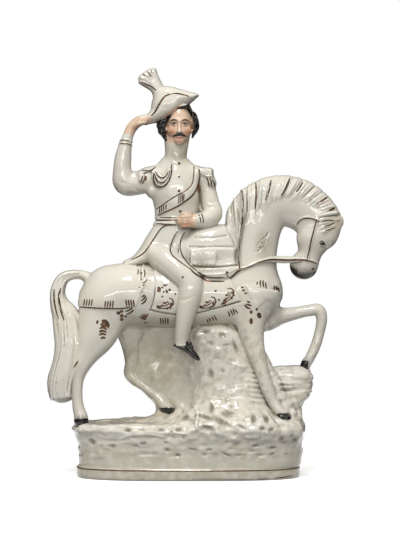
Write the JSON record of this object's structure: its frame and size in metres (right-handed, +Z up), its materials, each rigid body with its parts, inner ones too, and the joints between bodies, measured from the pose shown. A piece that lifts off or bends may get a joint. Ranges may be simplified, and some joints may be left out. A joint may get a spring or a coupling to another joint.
{
  "type": "equestrian figure",
  "caption": "Flat-fronted glazed pottery group: an officer lifting a plumed cocked hat on a stepping horse, propped by rockwork on an oval base.",
  "frame": {"origin": "middle of the base's underside", "axes": "+Z up, +X the way the horse faces, -Y the decorated front"},
  "size_m": [0.2653, 0.0871, 0.3662],
  "materials": {
    "glazed_earthenware": "glossy",
    "gilding": "satin",
    "enamel": "glossy"
  },
  "bodies": {
    "root": {"equestrian_figure": "glazed_earthenware"}
  },
  "joints": []
}
